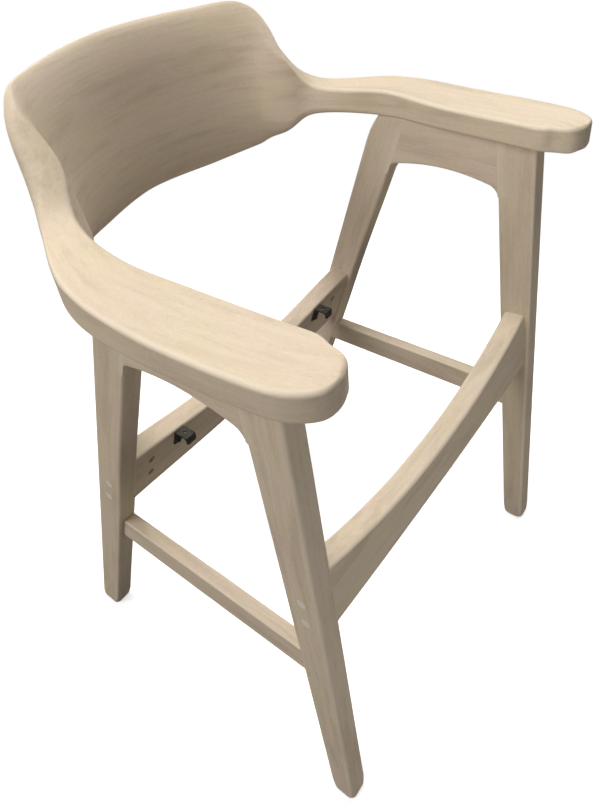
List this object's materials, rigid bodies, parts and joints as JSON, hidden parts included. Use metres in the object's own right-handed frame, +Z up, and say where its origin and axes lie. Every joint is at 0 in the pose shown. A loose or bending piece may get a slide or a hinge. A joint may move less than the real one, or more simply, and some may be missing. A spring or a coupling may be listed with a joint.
{
  "type": "armchair",
  "caption": "Bare hardwood armchair frame: a sculpted wrap-round back flows into broad paddle arms on raked side frames, with scooped seat rails and steel brackets for a separate seat.",
  "frame": {"origin": "on the floor, at the middle of the chair's width and depth", "axes": "+Z up; the chair faces -Y; +X is the sitter's left, and X = 0 is the chair's plane of symmetry"},
  "size_m": [0.604, 0.5184, 0.8075],
  "materials": {
    "frame_wood": "bare, pale, sanded smooth",
    "plug_wood": "bare end grain",
    "dowel_wood": "bare beech",
    "bolt_steel": "zinc plated",
    "bracket_steel": "blackened, satin"
  },
  "bodies": {
    "root": {"crest_rail": "frame_wood", "arm_left": "frame_wood", "arm_right": "frame_wood", "front_leg_left": "frame_wood", "front_leg_right": "frame_wood", "rear_leg_left": "frame_wood", "rear_leg_right": "frame_wood", "arm_rail_left": "frame_wood", "arm_rail_right": "frame_wood", "stretcher_left": "frame_wood", "stretcher_right": "frame_wood", "front_seat_rail": "frame_wood", "rear_seat_rail": "frame_wood", "seat_bracket_left": "bracket_steel", "seat_bracket_right": "bracket_steel", "bracket_screws": "bracket_steel", "front_rail_bolts": "bolt_steel", "rear_rail_bolts": "bolt_steel", "front_barrel_nuts": "bolt_steel", "rear_barrel_nuts": "bolt_steel", "front_leg_plugs": "plug_wood", "rear_leg_plugs": "plug_wood", "crest_dowels": "dowel_wood", "arm_dowels": "dowel_wood", "arm_rail_dowels": "dowel_wood"}
  },
  "joints": []
}
